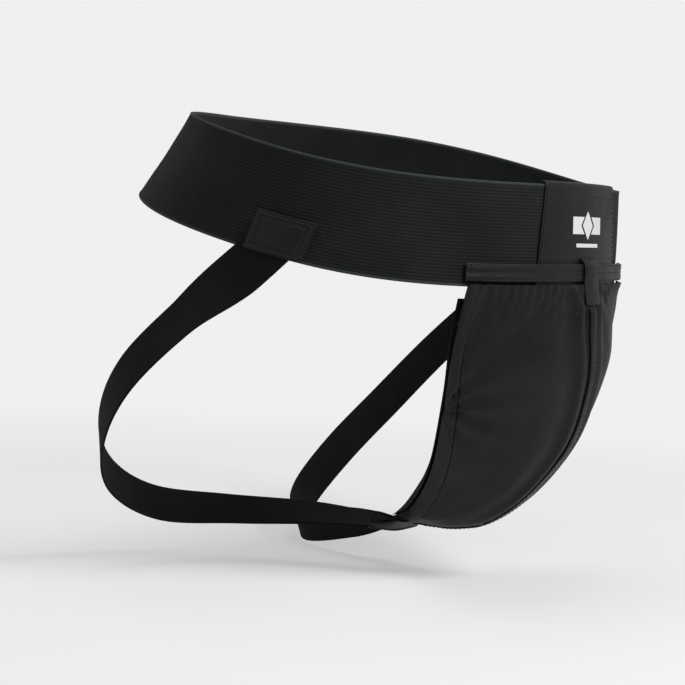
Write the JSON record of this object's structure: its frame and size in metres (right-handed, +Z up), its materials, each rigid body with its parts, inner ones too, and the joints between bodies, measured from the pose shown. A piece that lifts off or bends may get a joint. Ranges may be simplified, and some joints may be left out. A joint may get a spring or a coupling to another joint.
{
  "type": "groin protector",
  "caption": "Groin protector: wide elastic waistband, leather pouch holding a removable vented cup with a soft rim, and elastic leg straps.",
  "frame": {"origin": "middle of the waist opening, level with the waistband's top rim at the sides", "axes": "+Z up the wearer's body, -Y to the wearer's front, -X to the wearer's right"},
  "size_m": [0.4434, 0.3039, 0.2971],
  "materials": {
    "band_elastic": "ribbed woven elastic, matt",
    "strap_elastic": "fine woven elastic, matt",
    "leather": "smooth black leather, soft sheen",
    "leather_trim": "smooth black leather binding, soft sheen",
    "mark_print": "white heat-set print",
    "lining_fabric": "knitted lining, matt",
    "cup_plastic": "moulded, satin",
    "cup_rubber": "soft moulded rubber, matt"
  },
  "bodies": {
    "garment": {"waistband_elastic": "band_elastic", "front_panel": "leather", "front_mark": "mark_print", "pouch_top_binding": "leather_trim", "pouch_centre_tab": "leather_trim", "pouch_centre_strip": "leather_trim", "pouch_panel_right": "leather", "pouch_panel_left": "leather", "leg_binding_right": "leather_trim", "leg_binding_left": "leather_trim", "pouch_lining": "lining_fabric", "lining_top_elastic": "strap_elastic", "pouch_tip_patch": "leather_trim", "leg_strap_right": "strap_elastic", "leg_strap_left": "strap_elastic", "strap_patch_right": "leather_trim", "strap_patch_left": "leather_trim", "strap_facing_right": "leather_trim", "strap_facing_left": "leather_trim"},
    "cup": {"cup_shell": "cup_plastic", "cup_edge_cushion": "cup_rubber"}
  },
  "joints": [
    {"name": "cup_slide", "type": "slide", "parent": "garment", "child": "cup", "axis": [0, 0.5, 0.866], "range_m": [0, 0.26], "deforming": ["pouch_lining", "lining_top_elastic"]}
  ]
}
